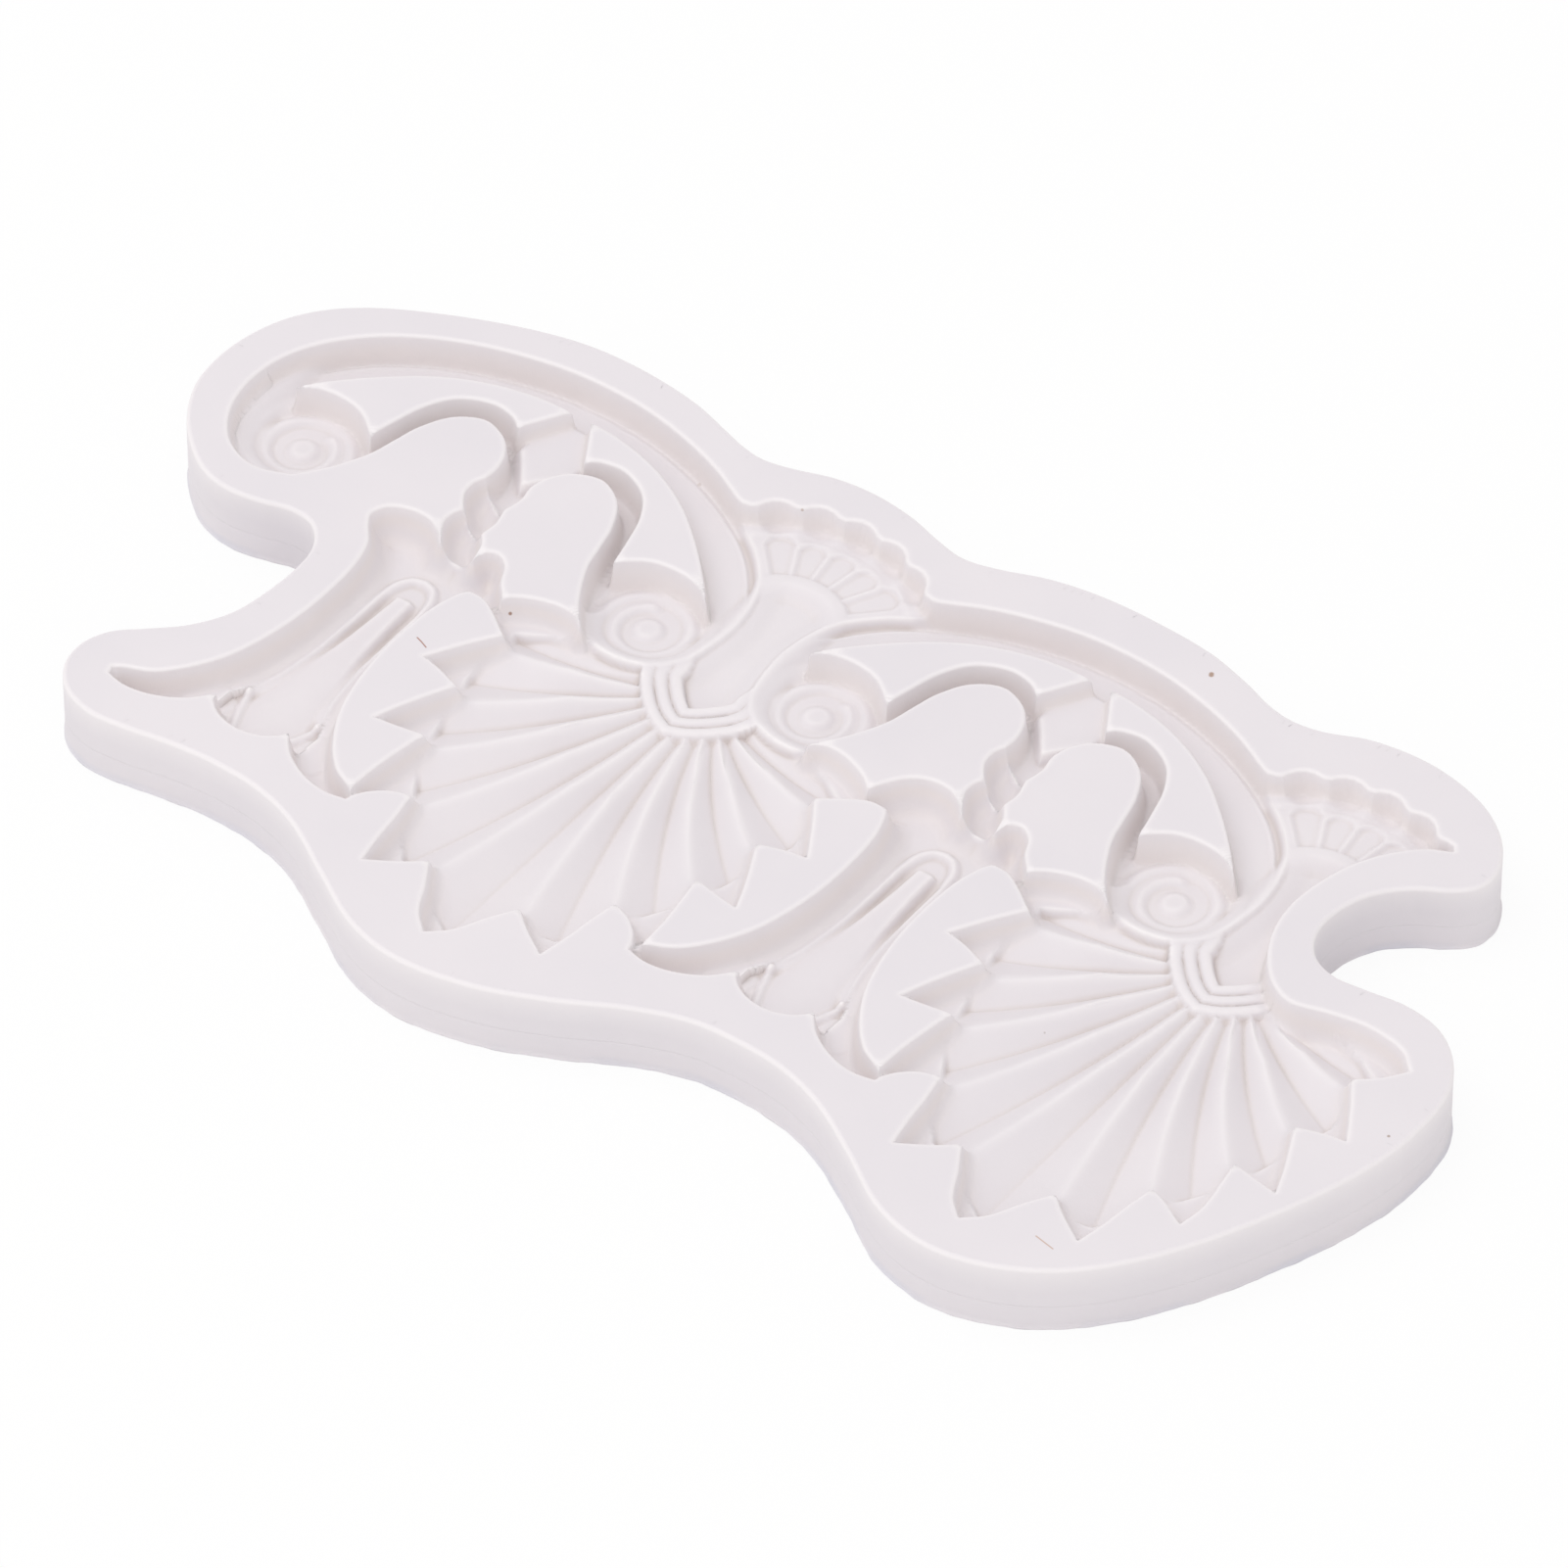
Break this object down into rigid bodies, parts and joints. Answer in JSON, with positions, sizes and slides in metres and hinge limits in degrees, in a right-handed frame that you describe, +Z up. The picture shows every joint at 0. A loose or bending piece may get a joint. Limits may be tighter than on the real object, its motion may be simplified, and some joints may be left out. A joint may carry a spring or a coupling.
{
  "type": "resin casting mould",
  "caption": "Flexible one-piece open mould that casts a relief border of arches, palmettes, shells and tassel pendants in resin or wax.",
  "frame": {"origin": "centre of the bounding box, at the flat underside that lies on the table", "axes": "+X along the border, towards the end with the last palmette; +Y across it, from the petal tips to the arches; +Z up, out of the open cavity"},
  "size_m": [0.159, 0.0826, 0.008],
  "materials": {
    "silicone": "satin, slightly translucent white silicone"
  },
  "bodies": {
    "root": {"base_sheet": "silicone", "rim_wall": "silicone", "crescent_1_left": "silicone", "crescent_1_right": "silicone", "crescent_2_left": "silicone", "crescent_2_right": "silicone", "bell_1_right": "silicone", "bell_2_left": "silicone", "bell_2_right": "silicone", "leaf_1_right": "silicone", "leaf_2_left": "silicone", "leaf_2_right": "silicone", "scroll_bed_1": "silicone", "scroll_bed_2": "silicone", "volute_1_left": "silicone", "volute_1_right": "silicone", "volute_2_left": "silicone", "volute_2_right": "silicone", "rope_bed_1": "silicone", "rope_bed_2": "silicone", "pendant_bed_1": "silicone", "pendant_bed_2": "silicone", "palmette_bed_1": "silicone", "palmette_bed_2": "silicone", "collar_bed_1": "silicone", "collar_bed_2": "silicone", "shell_bed_1": "silicone", "shell_bed_2": "silicone"}
  },
  "joints": []
}
